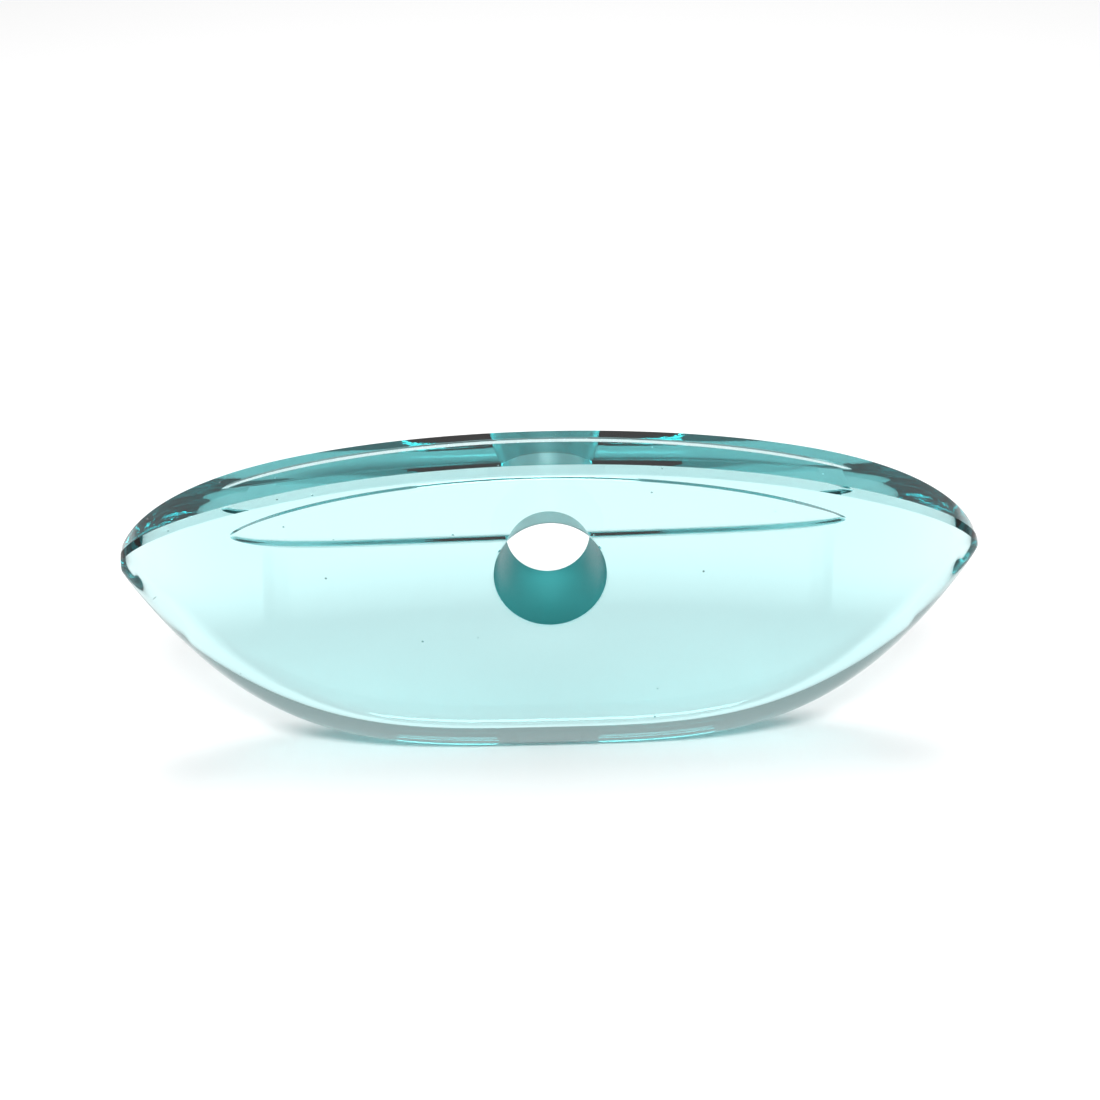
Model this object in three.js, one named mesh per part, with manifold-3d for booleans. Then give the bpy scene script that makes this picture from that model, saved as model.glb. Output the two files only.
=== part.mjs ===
// A solid block of clear aqua glass with one tapered hole through it.
// Millimetres. X runs along the length, -Y is the front face, +Z is up, and the block stands on the
// narrow flat foot at the bottom of its belly. The origin is on the foot, in the middle of the block's
// length and thickness.

import * as THREE from 'three';
import { mergeVertices } from 'three/addons/utils/BufferGeometryUtils.js';
import Module from 'manifold-3d';

const wasm = await Module();
wasm.setup();

// Driving dimensions
const LENGTH = 140;
const THICKNESS = 15.8;
const CROWN_RISE = 19;          // from the line joining the tips up to the top of the crown
const BELLY_DROP = 34.9;        // from the line joining the tips down to the belly's lowest point
const FOOT_CUT = 0.65;          // ground off the belly's lowest point to make the foot
const BELLY_POWER = 3.4;        // how full the belly's outline is, 2 being a parabola
const FRONT_ROUND = 11.5;       // height over which the front face curves in to the belly's edge
const BACK_ROUND = 6;           // the same for the back face
const STRAIGHT_HALF = 40;       // half length over which the front and back faces are parallel
const END_POWER = 2.5;          // how full the faces are where they close towards the tips
const EDGE_BEVEL = 1.2;         // polished bevel along the two edges of the crown
const LEFT_TIP_CUT = 0.99;      // where each tip is blunted, as a part of the outline's half length
const RIGHT_TIP_CUT = 0.998;
const BORE_FRONT_DIAMETER = 18.4;
const BORE_BACK_DIAMETER = 13.8;
const BORE_RIM_BEVEL = 0.25;

// The shallow recess in the back face, its outline measured from the hole's axis
const RECESS_HALF = 51;
const RECESS_MIDDLE = -1.7;
const RECESS_DEPTH = 0.9;
const RECESS_TOP = 13.1;
const RECESS_ARCH = 0.0028;     // how fast its upper edge falls from its middle, per millimetre
const RECESS_LOW = 1.3;
const RECESS_SLOPE = 0.015;     // how far its lower edge rises towards the right
const RECESS_END_POWER = 8;     // how square its two ends are
const RECESS_WALL_ABOVE = 0.35;
const RECESS_WALL_BELOW = 2.2;

// Fineness of the facets
const STATIONS = 84;
const BELLY_STEPS = 12;
const BORE_SIDES = 72;
const RECESS_SIDES = 96;
const RECESS_STEPS = 6;
const OVERSHOOT = 4;            // how far a cutting tool runs past the glass on each side

// The outline's own half length, before its tips are blunted, and where its middle falls
const OUTLINE_HALF = LENGTH / (LEFT_TIP_CUT + RIGHT_TIP_CUT);
const OUTLINE_SHIFT = (LEFT_TIP_CUT - RIGHT_TIP_CUT) * OUTLINE_HALF / 2;
const AXIS_HEIGHT = BELLY_DROP - FOOT_CUT;

function crownHeight(u) {
  return CROWN_RISE * Math.sqrt(1 - u * u);
}

function bellyDepth(u) {
  return BELLY_DROP * (1 - Math.abs(u) ** BELLY_POWER);
}

function halfThickness(u) {
  const past = Math.abs(u) * OUTLINE_HALF - STRAIGHT_HALF;
  const closing = Math.max(0, past / (OUTLINE_HALF - STRAIGHT_HALF));
  return THICKNESS / 2 * (1 - closing ** END_POWER) ** (1 / END_POWER);
}

// The section across the glass at u, from -1 at the left tip to 1 at the right tip, as points in Y and
// Z that go round once: the crown with its two bevels, then the rounded belly from back to front.
function sectionAt(u) {
  const top = AXIS_HEIGHT + crownHeight(u);
  const bottom = AXIS_HEIGHT - bellyDepth(u);
  const half = halfThickness(u);
  const bevel = Math.min(EDGE_BEVEL, 0.35 * half, 0.25 * (top - bottom));
  const points = [new THREE.Vector2(half - bevel, top), new THREE.Vector2(half, top - bevel)];
  for (let step = 0; step <= BELLY_STEPS; step += 1) {
    const angle = Math.PI * step / BELLY_STEPS;
    const rounding = angle < Math.PI / 2 ? BACK_ROUND : FRONT_ROUND;
    const height = bottom + Math.min(rounding, 0.45 * (top - bottom)) * (1 - Math.sin(angle));
    points.push(new THREE.Vector2(half * Math.cos(angle), Math.max(0, height)));
  }
  points.push(new THREE.Vector2(-half, top - bevel), new THREE.Vector2(-half + bevel, top));
  return points;
}

// The closed skin through a row of rings of as many points each, with a flat lid on both end rings.
// Seen from the last ring's side, every ring's points go round clockwise, so the faces look outward.
function ringSkin(rings) {
  const around = rings[0].length;
  const last = (rings.length - 1) * around;
  const indices = [];
  for (let start = 0; start < last; start += around) {
    for (let corner = 0; corner < around; corner += 1) {
      const a = start + corner;
      const b = start + (corner + 1) % around;
      indices.push(a, a + around, b, b, a + around, b + around);
    }
  }
  for (let corner = 1; corner < around - 1; corner += 1) {
    indices.push(0, corner, corner + 1);
    indices.push(last, last + corner + 1, last + corner);
  }
  const geometry = new THREE.BufferGeometry();
  geometry.setFromPoints(rings.flat());
  geometry.setIndex(indices);
  return geometry;
}

// Sections from tip to tip, closer together near the tips
function glassBlank() {
  const middle = (RIGHT_TIP_CUT - LEFT_TIP_CUT) / 2;
  const reach = (RIGHT_TIP_CUT + LEFT_TIP_CUT) / 2;
  const rings = [];
  for (let station = 0; station <= STATIONS; station += 1) {
    const u = middle - reach * Math.cos(Math.PI * station / STATIONS);
    const x = u * OUTLINE_HALF + OUTLINE_SHIFT;
    rings.push(sectionAt(u).map((point) => new THREE.Vector3(x, point.x, point.y)));
  }
  return ringSkin(rings);
}

// The tapered hole with a 45 degree bevel at both its rims, as a solid turned about the hole's axis
function boreCutter() {
  const front = -THICKNESS / 2;
  const back = THICKNESS / 2;
  const wide = BORE_FRONT_DIAMETER / 2;
  const narrow = BORE_BACK_DIAMETER / 2;
  const taper = (wide - narrow) / THICKNESS;
  const profile = [
    new THREE.Vector2(0, front - OVERSHOOT),
    new THREE.Vector2(wide + BORE_RIM_BEVEL + OVERSHOOT * (1 + taper), front - OVERSHOOT),
    new THREE.Vector2(wide - BORE_RIM_BEVEL * taper, front + BORE_RIM_BEVEL),
    new THREE.Vector2(narrow + BORE_RIM_BEVEL * taper, back - BORE_RIM_BEVEL),
    new THREE.Vector2(narrow + BORE_RIM_BEVEL + OVERSHOOT * (1 - taper), back + OVERSHOOT),
    new THREE.Vector2(0, back + OVERSHOOT),
  ];
  const geometry = new THREE.LatheGeometry(profile, BORE_SIDES);
  geometry.translate(OUTLINE_SHIFT, 0, AXIS_HEIGHT);
  return geometry;
}

// The recess's outline at a height y, drawn in from its rim by a share of its wall's width
function recessRing(y, share) {
  const half = RECESS_HALF - share * RECESS_WALL_BELOW;
  const ring = [];
  for (let side = 0; side < RECESS_SIDES; side += 1) {
    const turn = 2 * Math.PI * (side + 0.5) / RECESS_SIDES;
    const x = half * Math.cos(turn);
    const upper = RECESS_TOP - RECESS_ARCH * x * x - share * RECESS_WALL_ABOVE;
    const lower = RECESS_LOW + RECESS_SLOPE * x + share * RECESS_WALL_BELOW;
    const closing = Math.sqrt(1 - Math.abs(Math.cos(turn)) ** RECESS_END_POWER);
    const z = (upper + lower) / 2 + Math.sign(Math.sin(turn)) * closing * (upper - lower) / 2;
    ring.push(new THREE.Vector3(OUTLINE_SHIFT + RECESS_MIDDLE + x, y, AXIS_HEIGHT + z));
  }
  return ring;
}

// From the recess's flat floor up its wall, which eases into the back face, and on out of the glass
function recessCutter() {
  const back = THICKNESS / 2;
  const rings = [];
  for (let step = 0; step <= RECESS_STEPS; step += 1) {
    const share = 1 - step / RECESS_STEPS;
    rings.push(recessRing(back - RECESS_DEPTH * (1 - Math.cos(Math.PI * share)) / 2, share));
  }
  rings.push(recessRing(back + OVERSHOOT, 0));
  return ringSkin(rings);
}

function toManifold(geometry) {
  const bare = geometry.clone();
  bare.deleteAttribute('normal');
  bare.deleteAttribute('uv');
  const merged = mergeVertices(bare, 1e-5);
  return new wasm.Manifold(new wasm.Mesh({
    numProp: 3,
    vertProperties: new Float32Array(merged.attributes.position.array),
    triVerts: new Uint32Array(merged.index.array),
  }));
}

function toGeometry(solid) {
  const mesh = solid.getMesh();
  const geometry = new THREE.BufferGeometry();
  geometry.setAttribute('position', new THREE.BufferAttribute(new Float32Array(mesh.vertProperties), 3));
  geometry.setIndex(new THREE.BufferAttribute(new Uint32Array(mesh.triVerts), 1));
  geometry.computeVertexNormals();
  return geometry;
}

function glassBody() {
  const solid = toManifold(glassBlank())
    .subtract(toManifold(boreCutter()))
    .subtract(toManifold(recessCutter()));
  const aqua = new THREE.MeshStandardMaterial({
    color: 0xbfe9ea,
    roughness: 0.03,
    metalness: 0,
    transparent: true,
    opacity: 0.35,
  });
  const mesh = new THREE.Mesh(toGeometry(solid), aqua);
  mesh.name = 'glass_body';
  return mesh;
}

const group = new THREE.Group();
group.add(glassBody());

export default group;
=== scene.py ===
import math

import bmesh
import bpy
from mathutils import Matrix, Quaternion, Vector


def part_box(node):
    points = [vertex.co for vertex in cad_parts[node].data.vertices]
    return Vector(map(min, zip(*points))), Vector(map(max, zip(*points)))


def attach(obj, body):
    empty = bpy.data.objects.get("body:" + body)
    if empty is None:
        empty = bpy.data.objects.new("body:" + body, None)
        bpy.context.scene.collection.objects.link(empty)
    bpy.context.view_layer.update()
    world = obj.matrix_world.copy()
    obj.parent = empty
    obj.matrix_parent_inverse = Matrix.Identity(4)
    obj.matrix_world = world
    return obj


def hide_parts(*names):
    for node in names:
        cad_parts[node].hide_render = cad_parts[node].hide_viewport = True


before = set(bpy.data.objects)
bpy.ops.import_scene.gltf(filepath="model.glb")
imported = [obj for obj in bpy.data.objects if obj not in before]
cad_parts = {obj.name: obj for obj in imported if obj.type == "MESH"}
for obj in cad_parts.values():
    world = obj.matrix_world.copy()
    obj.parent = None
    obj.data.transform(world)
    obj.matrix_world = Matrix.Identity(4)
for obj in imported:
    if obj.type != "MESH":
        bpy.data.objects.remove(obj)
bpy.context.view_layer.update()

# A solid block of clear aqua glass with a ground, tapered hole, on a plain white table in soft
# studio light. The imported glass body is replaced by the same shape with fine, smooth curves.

MM = 0.001

# The block's own sizes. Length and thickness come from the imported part, the rest are in metres.
LOW, HIGH = (Vector(corner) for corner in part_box("glass_body"))
LENGTH = HIGH.x - LOW.x
THICKNESS = HIGH.y - LOW.y
CROWN_RISE = 19 * MM
FOOT_CUT = 0.65 * MM
BELLY_DROP = HIGH.z - LOW.z - CROWN_RISE + FOOT_CUT
BELLY_POWER = 3.4
FRONT_ROUND = 11.5 * MM
BACK_ROUND = 6.0 * MM
STRAIGHT_HALF = 40 * MM
END_POWER = 2.5
EDGE_BEVEL = 1.2 * MM
# Near the tips the bevel and the rounding stay within these parts of the section's size
BEVEL_PART_OF_WIDTH = 0.35
BEVEL_PART_OF_HEIGHT = 0.25
ROUND_PART_OF_HEIGHT = 0.45
LEFT_TIP_CUT = 0.99
RIGHT_TIP_CUT = 0.998
OUTLINE_HALF = LENGTH / (LEFT_TIP_CUT + RIGHT_TIP_CUT)
BORE_FRONT_RADIUS = 9.2 * MM
BORE_BACK_RADIUS = 6.9 * MM
RIM_BEVEL = 0.25 * MM
# The shallow recess in the back face, measured from the hole's axis. Its upper edge is an arch and
# its lower edge nearly straight, and its wall is steep above and wide below.
RECESS_HALF = 51.0 * MM
RECESS_MIDDLE = -1.7 * MM
RECESS_DEPTH = 0.9 * MM
RECESS_TOP = 13.1 * MM
RECESS_ARCH = 2.8               # per metre, how fast the upper edge falls from its middle
RECESS_LOW = 1.3 * MM
RECESS_SLOPE = 0.015
RECESS_END_POWER = 8
RECESS_WALL_ABOVE = 0.35 * MM
RECESS_WALL_BELOW = 2.2 * MM
BORE_AXIS = Vector(((LEFT_TIP_CUT - RIGHT_TIP_CUT) * OUTLINE_HALF / 2, 0, BELLY_DROP - FOOT_CUT))

# Fineness of the mesh
STATIONS = 260
BELLY_STEPS = 48
BORE_SIDES = 256
RECESS_SIDES = 240
RECESS_STEPS = 16
OVERSHOOT = 4 * MM
SHARP_ANGLE = math.radians(20)
WELD_DISTANCE = 1e-7            # points closer than this are one point
BORE_WALL_LEAN = 0.5            # a face of the hole's wall has a normal that leans less than this along Y

# Glass. Its colour and density were chosen and aren't measured.
GLASS_IOR = 1.52
TINT = (0.0, 0.68, 0.695, 1)
TINT_DENSITY = 36.0             # per metre
CLEAR = (1.0, 1.0, 1.0, 1)
GRAIN_DETAIL = 6
GRAIN_ROUGHNESS = 0.6
GRAIN_LOW, GRAIN_HIGH = 0.3, 0.75   # the stretch of the grain that spans the roughness
PIT_SCALE = 200                 # tiny pits about half a centimetre apart
PIT_SIZE = 0.035                # as a part of their spacing
PIT_DEPTH = 0.2 * MM
GROUND = (0.10, 0.95, 0.96, 1)  # the ground wall of the hole

# Table, surroundings and lights
TABLE_COLOUR = (0.97, 0.97, 0.97, 1)
TABLE_ROUGHNESS = 0.7
TABLE_HALF = 3.0
SURROUNDINGS_STRENGTH = 0.43
LIGHT_DISTANCE = 0.8
LIGHT_BOUNCES = 32              # enough for light that runs along inside the glass

# Camera, placed by where it looks, how far away it is and how wide a view it takes in there
VIEW_ELEVATION = math.radians(26)
VIEW_AZIMUTH = math.radians(-1.2)
VIEW_ROLL = math.radians(-0.8)
VIEW_DISTANCE = 0.5
VIEW_WIDTH = 0.1771
VIEW_LIFT = 4.5 * MM            # the view's middle above the middle of the hole's front rim
SENSOR_WIDTH = 36
NEAR_LIMIT = 0.01


# ---- Shape ------------------------------------------------------------------------------------

def half_thickness(u):
    past = abs(u) * OUTLINE_HALF - STRAIGHT_HALF
    closing = max(0.0, past / (OUTLINE_HALF - STRAIGHT_HALF))
    return THICKNESS / 2 * (1 - closing ** END_POWER) ** (1 / END_POWER)


def section_at(u):
    """The section across the glass at u, from -1 at the left tip to 1 at the right, as (y, z)."""
    top = BORE_AXIS.z + CROWN_RISE * math.sqrt(1 - u * u)
    bottom = BORE_AXIS.z - BELLY_DROP * (1 - abs(u) ** BELLY_POWER)
    half = half_thickness(u)
    bevel = min(EDGE_BEVEL, BEVEL_PART_OF_WIDTH * half, BEVEL_PART_OF_HEIGHT * (top - bottom))
    points = [(half - bevel, top), (half, top - bevel)]
    for step in range(BELLY_STEPS + 1):
        angle = math.pi * step / BELLY_STEPS
        rounding = min(BACK_ROUND if angle < math.pi / 2 else FRONT_ROUND,
                       ROUND_PART_OF_HEIGHT * (top - bottom))
        height = bottom + rounding * (1 - math.sin(angle))
        points.append((half * math.cos(angle), max(0.0, height)))
    points += [(-half, top - bevel), (-half + bevel, top)]
    return points


def mesh_object(name, verts, faces):
    mesh = bpy.data.meshes.new(name)
    mesh.from_pydata(verts, [], faces)
    work = bmesh.new()
    work.from_mesh(mesh)
    bmesh.ops.remove_doubles(work, verts=work.verts, dist=WELD_DISTANCE)
    bmesh.ops.recalc_face_normals(work, faces=work.faces)
    work.to_mesh(mesh)
    work.free()
    obj = bpy.data.objects.new(name, mesh)
    bpy.context.scene.collection.objects.link(obj)
    return obj


def glass_blank():
    """Sections from tip to tip, closer together near the tips, joined into one closed skin."""
    middle = (RIGHT_TIP_CUT - LEFT_TIP_CUT) / 2
    reach = (RIGHT_TIP_CUT + LEFT_TIP_CUT) / 2
    verts = []
    for station in range(STATIONS + 1):
        u = middle - reach * math.cos(math.pi * station / STATIONS)
        section = section_at(u)
        verts += [(u * OUTLINE_HALF + BORE_AXIS.x, y, z) for y, z in section]
    around = len(section)
    faces = []
    for station in range(STATIONS):
        for corner in range(around):
            a = station * around + corner
            b = station * around + (corner + 1) % around
            faces.append((a, b, b + around, a + around))
    faces.append(tuple(range(around)))
    faces.append(tuple(STATIONS * around + corner for corner in range(around)))
    return mesh_object("glass_block", verts, faces)


def cut_rings(block, rings):
    """Cuts out of the block the closed solid that runs through rings of as many points each."""
    around = len(rings[0])
    verts = [point for ring in rings for point in ring]
    faces = [tuple(range(around)), tuple(range(len(verts) - around, len(verts)))]
    for start in range(0, len(verts) - around, around):
        for side in range(around):
            a, b = start + side, start + (side + 1) % around
            faces.append((a, b, b + around, a + around))
    cutter = mesh_object("cutter", verts, faces)
    cut = block.modifiers.new("cut", "BOOLEAN")
    cut.operation = "DIFFERENCE"
    cut.solver = "EXACT"
    cut.object = cutter
    bpy.context.view_layer.objects.active = block
    bpy.ops.object.modifier_apply(modifier=cut.name)
    bpy.data.objects.remove(cutter)


def cut_bore(block):
    """Cuts the tapered hole with a 45 degree bevel at both its rims."""
    front, back = -THICKNESS / 2, THICKNESS / 2
    taper = (BORE_FRONT_RADIUS - BORE_BACK_RADIUS) / THICKNESS
    stations = (
        (front - OVERSHOOT, BORE_FRONT_RADIUS + RIM_BEVEL + OVERSHOOT * (1 + taper)),
        (front + RIM_BEVEL, BORE_FRONT_RADIUS - RIM_BEVEL * taper),
        (back - RIM_BEVEL, BORE_BACK_RADIUS + RIM_BEVEL * taper),
        (back + OVERSHOOT, BORE_BACK_RADIUS + RIM_BEVEL + OVERSHOOT * (1 - taper)),
    )
    turns = [2 * math.pi * side / BORE_SIDES for side in range(BORE_SIDES)]
    cut_rings(block, [[(BORE_AXIS.x + radius * math.cos(turn), y, BORE_AXIS.z + radius * math.sin(turn))
                       for turn in turns] for y, radius in stations])


def recess_ring(y, share):
    """The recess's outline at a height y, drawn in from its rim by a share of its wall's width."""
    half = RECESS_HALF - share * RECESS_WALL_BELOW
    ring = []
    for side in range(RECESS_SIDES):
        turn = 2 * math.pi * (side + 0.5) / RECESS_SIDES
        x = half * math.cos(turn)
        upper = RECESS_TOP - RECESS_ARCH * x * x - share * RECESS_WALL_ABOVE
        lower = RECESS_LOW + RECESS_SLOPE * x + share * RECESS_WALL_BELOW
        closing = math.copysign(math.sqrt(1 - abs(math.cos(turn)) ** RECESS_END_POWER), math.sin(turn))
        z = (upper + lower) / 2 + closing * (upper - lower) / 2
        ring.append((BORE_AXIS.x + RECESS_MIDDLE + x, y, BORE_AXIS.z + z))
    return ring


def cut_recess(block):
    """Cuts the recess, whose wall eases out of the back face and into the recess's floor."""
    back = THICKNESS / 2
    rings = [recess_ring(back + OVERSHOOT, 0)]
    for step in range(RECESS_STEPS + 1):
        share = step / RECESS_STEPS
        rings.append(recess_ring(back - RECESS_DEPTH * (1 - math.cos(math.pi * share)) / 2, share))
    cut_rings(block, rings)


def glass_block():
    block = glass_blank()
    cut_bore(block)
    cut_recess(block)
    mesh = block.data
    mesh.shade_smooth()
    mesh.set_sharp_from_angle(angle=SHARP_ANGLE)
    return block


def is_bore_wall(face):
    """Whether a face belongs to the ground wall of the hole."""
    off_axis = math.hypot(face.center.x - BORE_AXIS.x, face.center.z - BORE_AXIS.z)
    return off_axis < BORE_FRONT_RADIUS and abs(face.normal.y) < BORE_WALL_LEAN


# ---- Materials --------------------------------------------------------------------------------

def new_material(name):
    material = bpy.data.materials.new(name)
    material.use_nodes = True
    tree = material.node_tree
    return material, tree, tree.nodes["Principled BSDF"]


def add_node(tree, kind, **values):
    node = tree.nodes.new(kind)
    for key, value in values.items():
        node.inputs[key.replace("_", " ")].default_value = value
    return node


def glass_material(name, surface, clearness, roughness_low, roughness_high, bump_strength,
                   bump_distance, scale):
    """Aqua glass whose roughness and surface vary a little, as a polished or ground face does."""
    material, tree, shader = new_material(name)
    link = tree.links.new
    shader.inputs["Base Color"].default_value = surface
    shader.inputs["Specular Tint"].default_value = surface
    shader.inputs["IOR"].default_value = GLASS_IOR
    shader.inputs["Transmission Weight"].default_value = clearness
    place = tree.nodes.new("ShaderNodeTexCoord")
    grain = add_node(tree, "ShaderNodeTexNoise", Scale=scale, Detail=GRAIN_DETAIL,
                     Roughness=GRAIN_ROUGHNESS)
    link(place.outputs["Object"], grain.inputs["Vector"])
    spread = add_node(tree, "ShaderNodeMapRange", From_Min=GRAIN_LOW, From_Max=GRAIN_HIGH,
                      To_Min=roughness_low, To_Max=roughness_high)
    link(grain.outputs["Fac"], spread.inputs["Value"])
    link(spread.outputs["Result"], shader.inputs["Roughness"])
    bump = add_node(tree, "ShaderNodeBump", Strength=bump_strength, Distance=bump_distance)
    link(grain.outputs["Fac"], bump.inputs["Height"])
    pits = add_node(tree, "ShaderNodeTexVoronoi", Scale=PIT_SCALE)
    link(place.outputs["Object"], pits.inputs["Vector"])
    dent = add_node(tree, "ShaderNodeMapRange", From_Min=0.0, From_Max=PIT_SIZE, To_Min=0.0, To_Max=1.0)
    link(pits.outputs["Distance"], dent.inputs["Value"])
    pitted = add_node(tree, "ShaderNodeBump", Strength=1.0, Distance=PIT_DEPTH)
    link(dent.outputs["Result"], pitted.inputs["Height"])
    link(bump.outputs["Normal"], pitted.inputs["Normal"])
    link(pitted.outputs["Normal"], shader.inputs["Normal"])
    absorb = add_node(tree, "ShaderNodeVolumeAbsorption", Color=TINT, Density=TINT_DENSITY)
    link(absorb.outputs["Volume"], tree.nodes["Material Output"].inputs["Volume"])
    return material


def table_material():
    material, _, shader = new_material("white_table")
    shader.inputs["Base Color"].default_value = TABLE_COLOUR
    shader.inputs["Roughness"].default_value = TABLE_ROUGHNESS
    return material


# ---- Setting ----------------------------------------------------------------------------------

def table():
    half = TABLE_HALF
    verts = [(-half, -half, 0), (half, -half, 0), (half, half, 0), (-half, half, 0)]
    floor = mesh_object("table", verts, [(0, 1, 2, 3)])
    floor.data.materials.append(table_material())


def soft_light(name, azimuth, elevation, width, height, power):
    """A rectangular soft light that aims at the glass, azimuth 0 being the front."""
    lamp = bpy.data.lights.new(name, "AREA")
    lamp.shape = "RECTANGLE"
    lamp.size = width
    lamp.size_y = height
    lamp.energy = power
    holder = bpy.data.objects.new(name, lamp)
    bpy.context.scene.collection.objects.link(holder)
    around, up = math.radians(azimuth), math.radians(elevation)
    level = math.cos(up)
    aim = Vector((math.sin(around) * level, -math.cos(around) * level, math.sin(up)))
    holder.location = BORE_AXIS + aim * LIGHT_DISTANCE
    holder.rotation_mode = "QUATERNION"
    holder.rotation_quaternion = (-aim).to_track_quat("-Z", "Y")


def white_surroundings(strength):
    world = bpy.data.worlds.new("white_room")
    world.use_nodes = True
    background = world.node_tree.nodes["Background"]
    background.inputs["Color"].default_value = (1, 1, 1, 1)
    background.inputs["Strength"].default_value = strength
    bpy.context.scene.world = world


def camera():
    data = bpy.data.cameras.new("camera")
    data.sensor_width = SENSOR_WIDTH
    data.lens = SENSOR_WIDTH * VIEW_DISTANCE / VIEW_WIDTH
    data.clip_start = NEAR_LIMIT
    holder = bpy.data.objects.new("camera", data)
    bpy.context.scene.collection.objects.link(holder)
    level = math.cos(VIEW_ELEVATION)
    towards = Vector((math.sin(VIEW_AZIMUTH) * level, -math.cos(VIEW_AZIMUTH) * level,
                      math.sin(VIEW_ELEVATION)))
    aim = BORE_AXIS + Vector((0, -THICKNESS / 2, VIEW_LIFT))
    holder.location = aim + towards * VIEW_DISTANCE
    holder.rotation_mode = "QUATERNION"
    turn = Quaternion((0, 0, 1), VIEW_ROLL)
    holder.rotation_quaternion = (-towards).to_track_quat("-Z", "Y") @ turn
    bpy.context.scene.camera = holder


# ---- Assembly ---------------------------------------------------------------------------------

block = glass_block()
block.data.materials.append(glass_material(
    "polished_glass", surface=CLEAR, clearness=1.0, roughness_low=0.0, roughness_high=0.03,
    bump_strength=0.05, bump_distance=0.2 * MM, scale=60))
block.data.materials.append(glass_material(
    "ground_glass", surface=GROUND, clearness=0.8, roughness_low=0.3, roughness_high=0.5,
    bump_strength=0.3, bump_distance=0.1 * MM, scale=2500))
for face in block.data.polygons:
    face.material_index = 1 if is_bore_wall(face) else 0
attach(block, "root")
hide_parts("glass_body")

table()
white_surroundings(SURROUNDINGS_STRENGTH)
soft_light("top", azimuth=180, elevation=73, width=0.45, height=0.45, power=3.8)
soft_light("front_key", azimuth=0, elevation=44, width=0.3, height=0.16, power=4.8)
camera()

cycles = bpy.context.scene.cycles
cycles.max_bounces = LIGHT_BOUNCES
cycles.transmission_bounces = LIGHT_BOUNCES
cycles.glossy_bounces = LIGHT_BOUNCES

view = bpy.context.scene.view_settings
view.view_transform = "Standard"
view.exposure = 0.0
